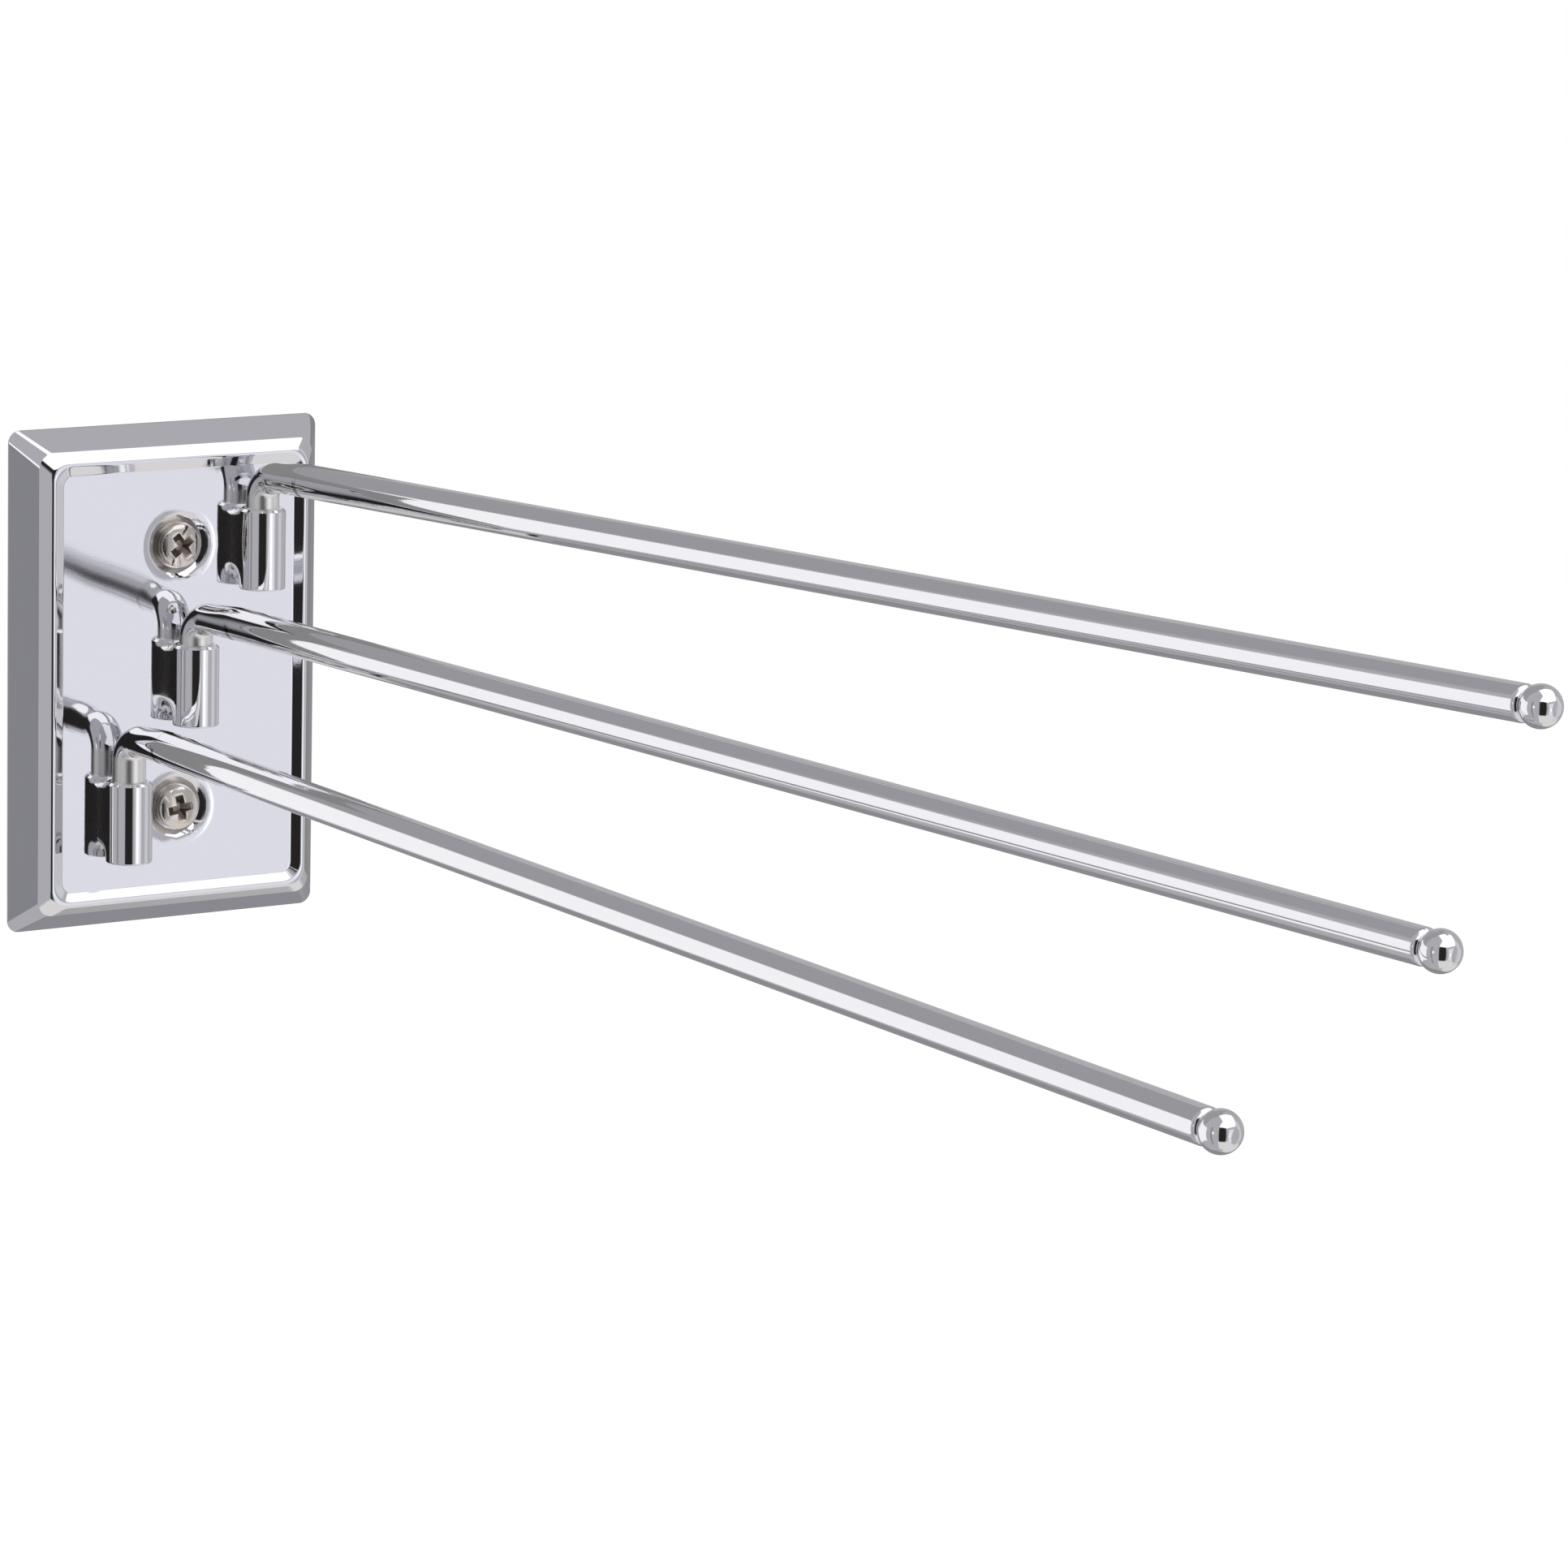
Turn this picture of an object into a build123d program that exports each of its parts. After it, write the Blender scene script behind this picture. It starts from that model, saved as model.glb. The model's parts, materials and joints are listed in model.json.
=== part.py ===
from build123d import *
import math
import os

# Three-arm swing towel rack for a wall, in millimetres.
# Origin: centre of the plate's back edge, on the wall. +Z is up and the arms point to -Y.

# Pressed sheet plate
PLATE_W = 65.0
PLATE_H = 95.25
SHEET = 1.0
CREST_LIFT = 7.7
PANEL_SINK = 0.9
BREAK_RUN = 3.8
BREAK_LIFT = 5.65
BEVEL_RUN = 5.5
CREST_W = 1.0
WALL_RUN = 1.7
BEND_INSIDE_R = 0.2
LIP_R = 1.0
FOOT_R = 0.7
BASE_CORNER_R = 2.4
BREAK_CORNER_R = 3.0
CREST_CORNER_R = 3.4
LIP_CORNER_R = 3.4
FOOT_CORNER_R = 2.0

# Wall screws and the dished seats under their heads
SCREW_SPACING = 50.0
SCREW_D = 4.2
SCREW_LENGTH = 31.75
SCREW_TIP = 5.0
NECK_D = 3.2
NECK_PAST_WALL = 0.5
SCREW_CLEARANCE = 0.3
HEAD_D = 8.2
HEAD_RIM = 1.9
HEAD_RISE = 2.9
HEAD_CROWN_R = 1.0
DISH_DEPTH = 1.2
DISH_CLEARANCE = 0.4
DISH_SLOPE_RUN = 1.7
DISH_EDGE_INSIDE_R = 0.2
CROSS_SPAN = 5.2
CROSS_WIDTH = 1.4
CROSS_DEPTH = 2.2
CROSS_FLOOR_SPAN = 1.4
CROSS_FLOOR_WIDTH = 0.8
CROSS_TURN_UPPER = 35.0
CROSS_TURN_LOWER = 10.0

# Pivot sockets, welded to the panel on a diagonal
SOCKET_WALL = 1.175
SOCKET_H = 15.4
SOCKET_FLOOR = 1.8
SOCKET_STEP_X = 13.9
SOCKET_STEP_Z = 25.0
SOCKET_MIDDLE_X = 1.3
SOCKET_MIDDLE_TOP_Z = 6.85
SOCKET_RIM_CHAMFER = 0.5
SOCKET_MOUTH_CHAMFER = 0.25
SOCKET_BASE_R = 0.4
WELD_MARGIN = 1.2

# Bent rod arms
ROD_D = 6.35
PIVOT_CLEARANCE = 0.05
SEAT_GAP = 0.2
LEG_RISE = 5.95
ARM_BEND_R = 4.5
ARM_REACH = 317.5
LEG_CHAMFER = 0.6
ROD_END_R = 1.1

# Ball tips, each pressed on a spigot at the rod's end
BALL_D = 7.2
BALL_NECK_BACK = 2.5
BALL_TIP_FLAT = 0.2
SPIGOT_D = 3.0
SPIGOT_LENGTH = 3.0

# Rest position of each arm: swing in degrees to the right of straight out
SWING_TOP = 10.2
SWING_MIDDLE = 9.4
SWING_BOTTOM = 4.0

# Rise of each arm's run in degrees, and how far its leg is lifted in the socket
RISE_TOP = 0.43
RISE_MIDDLE = -1.65
RISE_BOTTOM = -1.84
LIFT_TOP = 0.55
LIFT_MIDDLE = 0.0
LIFT_BOTTOM = 2.85

# Tolerance when picking the edges that lie in one plane
TOUCH = 0.001

# Worked out from the sizes above
PANEL_LIFT = CREST_LIFT - PANEL_SINK
LIP_INSET = BEVEL_RUN + CREST_W
BEND_R = BEND_INSIDE_R + SHEET
DISH_EDGE_R = DISH_EDGE_INSIDE_R + SHEET
DISH_SEAT_R = HEAD_D / 2 + DISH_CLEARANCE
DISH_MOUTH_R = DISH_SEAT_R + DISH_SLOPE_RUN
SCREW_HOLE_D = SCREW_D + 2 * SCREW_CLEARANCE
BORE_D = ROD_D + 2 * PIVOT_CLEARANCE
SOCKET_D = BORE_D + 2 * SOCKET_WALL
PIVOT_OUT = PANEL_LIFT + SOCKET_D / 2
BORE_DEPTH = SOCKET_H - SOCKET_FLOOR
LEG_LENGTH = LEG_RISE + BORE_DEPTH - SEAT_GAP
SEAT_LIFT = PANEL_LIFT - DISH_DEPTH

ARMS = {
    "top": (1, SWING_TOP, RISE_TOP, LIFT_TOP),
    "middle": (0, SWING_MIDDLE, RISE_MIDDLE, LIFT_MIDDLE),
    "bottom": (-1, SWING_BOTTOM, RISE_BOTTOM, LIFT_BOTTOM),
}
SCREWS = {
    "upper": (1, CROSS_TURN_UPPER),
    "lower": (-1, CROSS_TURN_LOWER),
}


def outline(inset, corner_r, lift):
    """Rounded rectangle, parallel to the wall, inset from the plate's edge."""
    shape = RectangleRounded(PLATE_W - 2 * inset, PLATE_H - 2 * inset, corner_r)
    return Plane.XZ.offset(lift) * shape


def edges_at(solid, lift, inset=0.0):
    """Edges in the plane at one distance from the wall, no nearer the plate's edge than an inset."""
    half_w = PLATE_W / 2 - inset + TOUCH
    half_h = PLATE_H / 2 - inset + TOUCH
    flat = solid.edges().filter_by_position(Axis.Y, -lift - TOUCH, -lift + TOUCH)
    narrow = flat.filter_by_position(Axis.X, -half_w, half_w)
    return narrow.filter_by_position(Axis.Z, -half_h, half_h)


def at_screw(side, lift):
    """Place of a wall screw's axis, above or below the origin, at one distance from the wall."""
    return Plane.XZ.offset(lift) * Pos(0, side * SCREW_SPACING / 2, 0)


def dish(skin):
    """Round seat pressed into the panel for a screw head, on the Z axis with its mouth at zero."""
    slope = math.atan2(DISH_DEPTH, DISH_MOUTH_R - DISH_SEAT_R)
    spread = skin * math.tan(slope / 2)
    return Pos(0, 0, -DISH_DEPTH / 2) * Cone(DISH_SEAT_R + spread, DISH_MOUTH_R + spread, DISH_DEPTH)


def pressed_form(skin):
    """Solid under the plate's front surface, set back by a skin's thickness."""
    bevel = math.atan2(BREAK_LIFT, BREAK_RUN)
    brow = math.atan2(CREST_LIFT - BREAK_LIFT, BEVEL_RUN - BREAK_RUN)
    wall = math.atan2(CREST_LIFT - PANEL_LIFT, WALL_RUN)
    crest = CREST_LIFT - skin
    panel = PANEL_LIFT - skin
    lip_inset = LIP_INSET - skin * math.tan(wall / 2)
    lean = (bevel + brow) / 2
    shift = skin / math.cos((bevel - brow) / 2)
    base = outline(skin / math.sin(bevel), BASE_CORNER_R, 0)
    fold = outline(BREAK_RUN + shift * math.sin(lean), BREAK_CORNER_R, BREAK_LIFT - shift * math.cos(lean))
    top = outline(BEVEL_RUN + skin * math.tan(brow / 2), CREST_CORNER_R, crest)
    form = loft([base, fold, top], ruled=True)
    form = fillet(edges_at(form, crest), BEND_R - skin)
    lip = outline(lip_inset, LIP_CORNER_R, crest)
    foot = outline(lip_inset + WALL_RUN, FOOT_CORNER_R, panel)
    form -= loft([lip, foot], ruled=True)
    form = fillet(edges_at(form, panel, lip_inset + WALL_RUN), FOOT_R + skin)
    if LIP_R > skin:
        form = fillet(edges_at(form, crest, lip_inset), LIP_R - skin)
    for side, _ in SCREWS.values():
        form -= at_screw(side, panel) * dish(skin)
    mouths = edges_at(form, panel).filter_by(lambda edge: edge.is_closed)
    return fillet(mouths, DISH_EDGE_R - skin)


def wall_plate():
    """Hollow pressed plate: border of two bevels, rounded crest, sunk panel and two drilled screw seats."""
    plate = pressed_form(0) - pressed_form(SHEET)
    for side, _ in SCREWS.values():
        plate -= at_screw(side, 0) * Cylinder(SCREW_HOLE_D / 2, 2 * CREST_LIFT)
    return plate


def socket(step):
    """Blind cup, round in front, with a square weld foot that sits flat on the panel."""
    cup = Pos(0, 0, -SOCKET_H / 2) * Cylinder(SOCKET_D / 2, SOCKET_H)
    cup = chamfer(cup.edges().sort_by(Axis.Z)[-1], SOCKET_RIM_CHAMFER)
    cup = fillet(cup.edges().sort_by(Axis.Z)[0], SOCKET_BASE_R)
    foot_h = SOCKET_H - 2 * WELD_MARGIN
    cup += Pos(0, SOCKET_D / 4, -SOCKET_H / 2) * Box(SOCKET_D, SOCKET_D / 2, foot_h)
    mouth_r = BORE_D / 2 + SOCKET_MOUTH_CHAMFER
    cup -= Pos(0, 0, -BORE_DEPTH / 2) * Cylinder(BORE_D / 2, BORE_DEPTH)
    cup -= Pos(0, 0, -SOCKET_MOUTH_CHAMFER / 2) * Cone(BORE_D / 2, mouth_r, SOCKET_MOUTH_CHAMFER)
    x, z = socket_top(step)
    return Pos(x, -PIVOT_OUT, z) * cup


def socket_top(step):
    """Place of a socket's rim centre, counted in steps from the middle one."""
    return SOCKET_MIDDLE_X + step * SOCKET_STEP_X, SOCKET_MIDDLE_TOP_Z + step * SOCKET_STEP_Z


def place_arm(shape, step, swing, lift):
    """Move a shape from the arm's own frame, bend corner at zero, to its place at rest."""
    x, z = socket_top(step)
    return Pos(x, -PIVOT_OUT, z + LEG_RISE + lift) * Rot(0, 0, swing) * shape


def run_point(distance, rise):
    """Point on the arm's run, measured from the pivot axis."""
    angle = math.radians(rise)
    return Vector(0, -distance * math.cos(angle), distance * math.sin(angle))


def run_plane(distance, rise):
    """Plane square to the arm's run, facing its tip."""
    return Plane(origin=run_point(distance, rise), x_dir=(1, 0, 0), z_dir=run_point(1, rise))


def arm(step, swing, rise, lift):
    """Round rod: pivot leg, tight bend, long run and a spigot for the ball."""
    rod_end = ARM_REACH - BALL_NECK_BACK
    path = FilletPolyline((0, 0, -LEG_LENGTH), (0, 0, 0), run_point(rod_end, rise), radius=ARM_BEND_R)
    rod = sweep(Plane(origin=path @ 0, z_dir=path % 0) * Circle(ROD_D / 2), path=path)
    rims = rod.edges().filter_by(GeomType.CIRCLE)
    rod = chamfer(rims.sort_by_distance(path @ 0)[0], LEG_CHAMFER)
    rims = rod.edges().filter_by(GeomType.CIRCLE)
    rod = fillet(rims.sort_by_distance(path @ 1)[0], ROD_END_R)
    spigot = Pos(0, 0, SPIGOT_LENGTH / 2) * Cylinder(SPIGOT_D / 2, SPIGOT_LENGTH)
    rod += run_plane(rod_end, rise) * spigot
    return place_arm(rod, step, swing, lift)


def ball_tip(step, swing, rise, lift):
    """Ball with a flat back against the rod's end and a slightly flattened tip."""
    front = BALL_D / 2 - BALL_TIP_FLAT
    keep = Pos(0, 0, (front - BALL_NECK_BACK) / 2) * Box(BALL_D, BALL_D, front + BALL_NECK_BACK)
    ball = Sphere(BALL_D / 2) & keep
    bore_middle = SPIGOT_LENGTH / 2 - BALL_NECK_BACK
    ball -= Pos(0, 0, bore_middle) * Cylinder(SPIGOT_D / 2, SPIGOT_LENGTH)
    return place_arm(run_plane(ARM_REACH, rise) * ball, step, swing, lift)


def wall_screw(side, turn):
    """Pan-head wood screw with a cross recess and a plain neck, seated in its dish."""
    head = Pos(0, 0, HEAD_RISE / 2) * Cylinder(HEAD_D / 2, HEAD_RISE)
    head = fillet(head.edges().sort_by(Axis.Z)[-1], min(HEAD_CROWN_R, HEAD_RISE - HEAD_RIM))
    neck = SEAT_LIFT + NECK_PAST_WALL
    thread = SCREW_LENGTH - SCREW_TIP - neck
    screw = head + Pos(0, 0, -neck / 2) * Cylinder(NECK_D / 2, neck)
    screw += Pos(0, 0, -neck - thread / 2) * Cylinder(SCREW_D / 2, thread)
    screw += Pos(0, 0, SCREW_TIP / 2 - SCREW_LENGTH) * Cone(0, SCREW_D / 2, SCREW_TIP)
    for quarter in (0, 90):
        wide = Pos(0, 0, HEAD_RISE) * Rectangle(CROSS_SPAN, CROSS_WIDTH)
        floor = Pos(0, 0, HEAD_RISE - CROSS_DEPTH) * Rectangle(CROSS_FLOOR_SPAN, CROSS_FLOOR_WIDTH)
        screw -= Rot(0, 0, turn + quarter) * loft([floor, wide], ruled=True)
    return at_screw(side, SEAT_LIFT) * screw


def main():
    os.makedirs("parts", exist_ok=True)
    nodes = {"wall_plate": wall_plate()}
    for name, (step, swing, rise, lift) in ARMS.items():
        nodes["socket_" + name] = socket(step)
        nodes["arm_" + name] = arm(step, swing, rise, lift)
        nodes["ball_tip_" + name] = ball_tip(step, swing, rise, lift)
    for name, (side, turn) in SCREWS.items():
        nodes["wall_screw_" + name] = wall_screw(side, turn)
    for name, solid in nodes.items():
        export_step(solid, os.path.join("parts", name + ".step"))


main()
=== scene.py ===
import json
import math

import bmesh
import bpy
from mathutils import Matrix, Vector

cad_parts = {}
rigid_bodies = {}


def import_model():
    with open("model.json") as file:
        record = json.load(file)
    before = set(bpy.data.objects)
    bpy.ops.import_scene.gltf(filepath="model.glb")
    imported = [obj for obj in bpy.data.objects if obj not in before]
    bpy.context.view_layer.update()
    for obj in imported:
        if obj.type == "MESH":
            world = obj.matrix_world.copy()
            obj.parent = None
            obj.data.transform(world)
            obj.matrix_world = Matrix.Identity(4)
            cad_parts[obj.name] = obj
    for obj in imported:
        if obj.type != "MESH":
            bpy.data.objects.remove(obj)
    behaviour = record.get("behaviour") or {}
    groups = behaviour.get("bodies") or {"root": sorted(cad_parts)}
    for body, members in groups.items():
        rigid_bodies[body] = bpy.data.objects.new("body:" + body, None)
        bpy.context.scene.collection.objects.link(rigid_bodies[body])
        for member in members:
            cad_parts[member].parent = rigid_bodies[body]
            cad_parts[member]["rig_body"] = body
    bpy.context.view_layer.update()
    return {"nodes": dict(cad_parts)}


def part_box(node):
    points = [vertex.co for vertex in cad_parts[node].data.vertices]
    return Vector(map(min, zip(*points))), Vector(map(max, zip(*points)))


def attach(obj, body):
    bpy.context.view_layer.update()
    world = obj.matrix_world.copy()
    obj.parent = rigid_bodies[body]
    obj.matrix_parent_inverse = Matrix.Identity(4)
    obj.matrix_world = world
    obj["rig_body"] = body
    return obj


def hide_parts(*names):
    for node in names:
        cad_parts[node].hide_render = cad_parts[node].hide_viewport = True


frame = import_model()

# Three-arm swing towel rack: looks. Shapes are worked out in millimetres and made in metres.
MM = 0.001

# Pressed plate: the border's corners as inset, lift and radius, the outline's as inset and radius
SHEET = 1.0
BREAK = (3.8, 5.65, 1.0)
RIDGE = (5.88, 7.88, 1.0)
FOOT = (8.2, 6.8, 0.7)
LEAST_R = 0.12
RIM_R = 0.25
PANEL_MARGIN = 2.2
CORNER_R = ((0.0, 2.4), (BREAK[0], 3.0), (5.5, 3.4), (6.5, 3.4), (FOOT[0], 2.0))

# Screw seats pressed into the panel
DISH_DEPTH = 1.2
DISH_SEAT_R = 4.5
DISH_SLOPE_RUN = 1.7
DISH_EDGE_INSIDE_R = 4.9
DISH_REACH = 2.1
DISH_FLOOR_R = 0.5
SCREW_HOLE_R = 2.4
SCREW_SPACING = 50.0

# Unevenness left in the panel by pressing and welding: swells round the seats, and two slanting waves
BULGE_LIFT = 0.035
BULGE_SPREAD = 5.0
WAVE_LIFT = 0.012
WAVE_FADE = 7.0
SIDEWAYS_WAVE = {"length": 31.0, "slant": 0.4}
UPWARD_WAVE = {"length": 43.4, "slant": -0.3}

# Pivot sockets, with the depths under the rim where the weld foot begins and ends
SOCKET_RIM_CHAMFER = 0.5
SOCKET_MOUTH_CHAMFER = 0.25
SOCKET_BASE_R = 0.4
SOCKET_FLOOR = 1.8
SOCKET_EDGE_R = 0.12
BORE_R = 3.225
WELD_TOP = (0.5, 2.0)
WELD_END = (10.4, 14.4)

# Bent rod arms: each bend thins over a share of its turn and fades along the run
ROD_R = 3.175
LEG_RISE = 5.95
LEG_IN_SOCKET = 13.4
LEG_CHAMFER = 0.6
LEG_EDGE_HOLD = 0.05
ARM_BEND_R = 4.5
BEND_THINNING = 0.22
BEND_THINNING_SHARE = 0.5
BEND_FADE = 9.0
ARM_REACH = 317.5
ROD_END_R = 1.1
ARMS = {
    "top": {"swing": 10.2, "rise": 0.43, "lift": 0.55},
    "middle": {"swing": 9.4, "rise": -1.65, "lift": 0.0},
    "bottom": {"swing": 4.0, "rise": -1.84, "lift": 2.85},
}

# Ball tips: the flat on the tip swells a little, given as shares of its radius and of its depth
BALL_R = 3.595
BALL_NECK_BACK = 2.5
BALL_TIP_FLAT = 0.2
BALL_TIP_SWELL = ((0.5, 0.2), (0.0, 0.25))
SPIGOT_R = 1.5
SPIGOT_LENGTH = 3.0

# Wall screws
HEAD_R = 4.1
HEAD_RISE = 2.9
HEAD_CROWN = 0.85
HEAD_SHOULDER_INSET = 0.14
HEAD_SHOULDER_R = HEAD_R - HEAD_SHOULDER_INSET
HEAD_EDGE_DROP = 0.25
HEAD_EDGE_R = 0.112
HEAD_FOOT_R = 0.15
NECK_R = 1.6
NECK_LENGTH = 6.1
NECK_FILLET_R = 0.1
THREAD_R = 2.1
THREAD_CORE_R = 1.5
THREAD_PITCH = 1.75
THREAD_RIDGE_SHARE = 0.32
SCREW_LENGTH = 31.74
SCREW_TIP = 5.0
SCREW_POINT_SHARE = 0.02
SCREWS = {"upper": {"side": 1, "turn": 35.0}, "lower": {"side": -1, "turn": 10.0}}

# Cross recesses, with a rounded lip at the crown
CROSS_HALF_SPAN = 2.6
CROSS_HALF_W = 0.8
CROSS_DEPTH = 2.2
CROSS_FLOOR_SPAN_SHARE = 0.3
CROSS_FLOOR_WIDTH_SHARE = 0.8
LIP_OUT = 0.02
LIP_DROP = 0.03
LIP_SWELL = 1.05

# Plated metals: marked places turn rougher and take a painted tone, painted shade on the screws below their
# crowns and a painted paler sheen on the rod legs and socket back flanks; haze is soft patches of roughness
# and grain fine bumps
PAINTED_PALE_SHEEN = (0.92, 0.91, 0.88)
PAINTED_BROWN_SHADE = (0.34, 0.29, 0.25)
METALS = {
    "plate_chrome": {
        "colour": (0.8, 0.8, 0.83), "painted_light_tone": PAINTED_PALE_SHEEN, "roughness": 0.035, "haze": 0.03, "grain": 0.14,
    },
    "rod_chrome": {
        "colour": (0.8, 0.8, 0.82), "painted_light_tone": PAINTED_PALE_SHEEN, "roughness": 0.03, "haze": 0.02, "grain": 0.15,
    },
    "screw_nickel": {
        "colour": (0.74, 0.7, 0.65), "painted_light_tone": PAINTED_BROWN_SHADE, "roughness": 0.08, "haze": 0.06, "grain": 0.3,
    },
}
HAZE_SCALE = 90.0
HAZE_DETAIL = 4.0
HAZE_RANGE = (0.3, 0.7)
GRAIN_SCALE = 2600.0
GRAIN_DETAIL = 2.0
GRAIN_DEPTH = 0.00001

# Marked places, rougher and painted: the pivot legs and the sockets' back flanks paler, a painted sheen;
# the screws below their crowns (recesses, head sides and shanks) brown, painted shade
DULL_AND_PAINTED_LIGHT = "dull_and_painted_light"
DULL_ROUGHNESS = 0.3
LEG_DULL_AND_SHEEN_FADE = 1.6
SOCKET_FLANK_DULL_AND_SHEEN = 0.4
RECESS_SHADE_FADE = 0.7
HEAD_SIDE_DULL_AND_SHADE = 0.75

# Fineness of the meshes: steps, shares of a stretch and lengths
ARC_STEPS = 8
SOCKET_ARC_STEPS = 4
WELD_STEPS = 16
BALL_STEPS = 48
CORNER_STEPS = 14
TURN_STEPS = 96
TURN_ANGLES = [2 * math.pi * i / TURN_STEPS for i in range(TURN_STEPS)]
BEND_STEPS = 30
THREAD_STEPS = 12
CROSS_FLANK_STEPS = 16
CROSS_END_SHARES = (-1.0, -0.5, 0.0, 0.5, 1.0)
CROSS_FLOOR_SHARES = (0.5, 1.0)
CROSS_WALL_SHARES = (0.25, 0.5, 0.75, 0.94)
CROWN_SHARES = (0.25, 0.5, 0.75, 1.0)
SIDE_SHARES = (0.0, 0.012, 0.04, 0.1, 0.2, 0.35, 0.5, 0.65, 0.8, 0.9, 0.96, 0.988, 1.0)
PANEL_SHARES = (0.03, 0.08, 0.15, 0.24, 0.35, 0.47, 0.6, 0.72, 0.83, 0.92)
HOLD = 0.1
HELD_LENGTH = 0.4
RUN_STEP = 8.0
TINY = 1e-6
SHARP_ANGLE = math.radians(40)

# Points closer than the gap become one and shorter edges are dropped, in metres
MERGE_GAP = 1e-7
LEAST_EDGE = 1e-8

# Camera: place and clipping in metres, angles in degrees, focal length in pixels of the photo's frame
CAMERA_PLACE = (-0.619, -1.178, 0.234)
CAMERA_YAW = 32.806
CAMERA_PITCH = 10.802
CAMERA_ROLL = 1.341
FOCAL_PIXELS = 8783.0
FRAME_PIXELS = 1932.0
SENSOR_WIDTH = 36.0
CLIP_START = 0.05
CLIP_END = 50.0

# Studio, in metres
WHITE = (1.0, 1.0, 1.0)
SOFTBOX_HEIGHT = 2.0
SOFTBOX_CORNERS = ((-0.1, 0.0), (-0.35, -1.3), (-2.05, -2.4), (-0.15, -4.3), (3.85, -3.5), (2.05, 0.0))
SOFTBOX_LIGHT = 1.3
FLOOR_LEVEL = -0.3
FLOOR_SIZE = 3.0
FLOOR_COLOUR = (0.8, 0.79, 0.78)
FLOOR_ROUGHNESS = 0.9
FLOOR_LIFT = 0.5
FILL_LIGHT = (0.6, 0.6, 0.6)

# Grey board behind the rack that only the metal sees: corners as (x, z)
BOARD_CORNERS = (
    (-0.052, 0.06), (-0.05, -0.014), (-0.044, -0.029), (-0.031, -0.045), (0.05, -0.045), (0.05, 0.06),
)
BOARD_BACK = 0.003
BOARD_LIGHT = 0.28

# Studio walls as the metal sees them, later ones over earlier: azimuth from straight out (right positive)
# and elevation, each as a centre, a half width and the softness of its edges in degrees
ROOM_LIGHT = (0.49, 0.487, 0.51)
PANELS = {
    "rear_wall": {"azimuth": (180, 50, 4), "elevation": (45, 30, 4), "light": (0.375, 0.373, 0.395)},
    "near_floor": {"azimuth": (39, 89, 4), "elevation": (-58, 24, 4), "light": (0.82, 0.8, 0.78)},
    "far_floor": {"azimuth": (158, 40, 10), "elevation": (-45, 33, 3), "light": (0.3, 0.3, 0.32)},
    "left_backdrop": {"azimuth": (-143, 31, 2), "elevation": (-8, 25, 2), "light": (1.09, 1.09, 1.1)},
    "right_backdrop": {"azimuth": (145, 15, 2), "elevation": (17, 22, 2), "light": (0.5, 0.5, 0.52)},
    "left_curtain": {"azimuth": (-84, 4, 3), "elevation": (-12, 40, 3), "light": (0.27, 0.268, 0.29)},
    "right_wall": {"azimuth": (20, 15, 4), "elevation": (-8, 26, 4), "light": (0.88, 0.88, 0.94)},
    "right_screen": {"azimuth": (68, 10, 4), "elevation": (-8, 40, 4), "light": (0.7, 0.7, 0.73)},
    "dark_corner": {"azimuth": (-27, 19, 4), "elevation": (-3, 35, 4), "light": (0.022, 0.02, 0.019)},
    "left_lamp": {"azimuth": (-75, 4, 3), "elevation": (3, 5, 3), "light": (1.4, 1.4, 1.4)},
    "right_lamp": {"azimuth": (16, 6, 4), "elevation": (-9, 7, 4), "light": (1.3, 1.3, 1.3)},
}


class Shell:
    """A mesh grown from rings of points in millimetres, bridged with quads."""

    def __init__(self):
        self.points = []
        self.faces = []

    def ring(self, points):
        start = len(self.points)
        self.points.extend(Vector(p) for p in points)
        return list(range(start, len(self.points)))

    def bridge(self, one, two):
        for i, point in enumerate(one):
            j = (i + 1) % len(one)
            self.faces.append((point, one[j], two[j], two[i]))

    def grow(self, last, points):
        """Add a ring and bridge it to the last one, if there is one."""
        ring = self.ring(points)
        if last:
            self.bridge(last, ring)
        return ring

    def cap(self, ring, centre):
        hub = self.ring([centre])[0]
        for i, point in enumerate(ring):
            self.faces.append((point, ring[(i + 1) % len(ring)], hub))

    def move(self, place):
        self.points = [place @ p for p in self.points]


def make_piece(name, shell, node, material, dulling_and_painted_light=None):
    """Turn a shell into a smooth object that stands for a CAD node and rides on its body.

    The last argument gives, for a point in millimetres, how much rougher the surface turns and how far its
    colour turns to the metal's painted tone: painted shade on the screws, a painted paler sheen on the
    rods.
    """
    mesh = bpy.data.meshes.new(name)
    mesh.from_pydata([p * MM for p in shell.points], [], shell.faces)
    editor = bmesh.new()
    editor.from_mesh(mesh)
    bmesh.ops.remove_doubles(editor, verts=editor.verts, dist=MERGE_GAP)
    bmesh.ops.dissolve_degenerate(editor, edges=editor.edges, dist=LEAST_EDGE)
    bmesh.ops.recalc_face_normals(editor, faces=editor.faces)
    editor.to_mesh(mesh)
    editor.free()
    mesh.shade_smooth()
    mesh.set_sharp_from_angle(angle=SHARP_ANGLE)
    mesh.materials.append(material)
    if dulling_and_painted_light:
        marks = mesh.attributes.new(DULL_AND_PAINTED_LIGHT, "FLOAT", "POINT")
        for mark, vertex in zip(marks.data, mesh.vertices):
            mark.value = dulling_and_painted_light(vertex.co / MM)
    piece = bpy.data.objects.new(name, mesh)
    bpy.context.scene.collection.objects.link(piece)
    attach(piece, frame["nodes"][node]["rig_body"])
    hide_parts(node)


def node_box(node):
    """Lowest and highest corner of a CAD node, in millimetres."""
    low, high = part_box(node)
    return low / MM, high / MM


HALF_W, _, HALF_H = node_box("wall_plate")[1]


def between(low, high, share):
    return low + (high - low) * share


def smooth_step(value):
    value = min(max(value, 0.0), 1.0)
    return value * value * (3 - 2 * value)


def polar(angle, radius, height):
    return radius * math.cos(angle), radius * math.sin(angle), height


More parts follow.
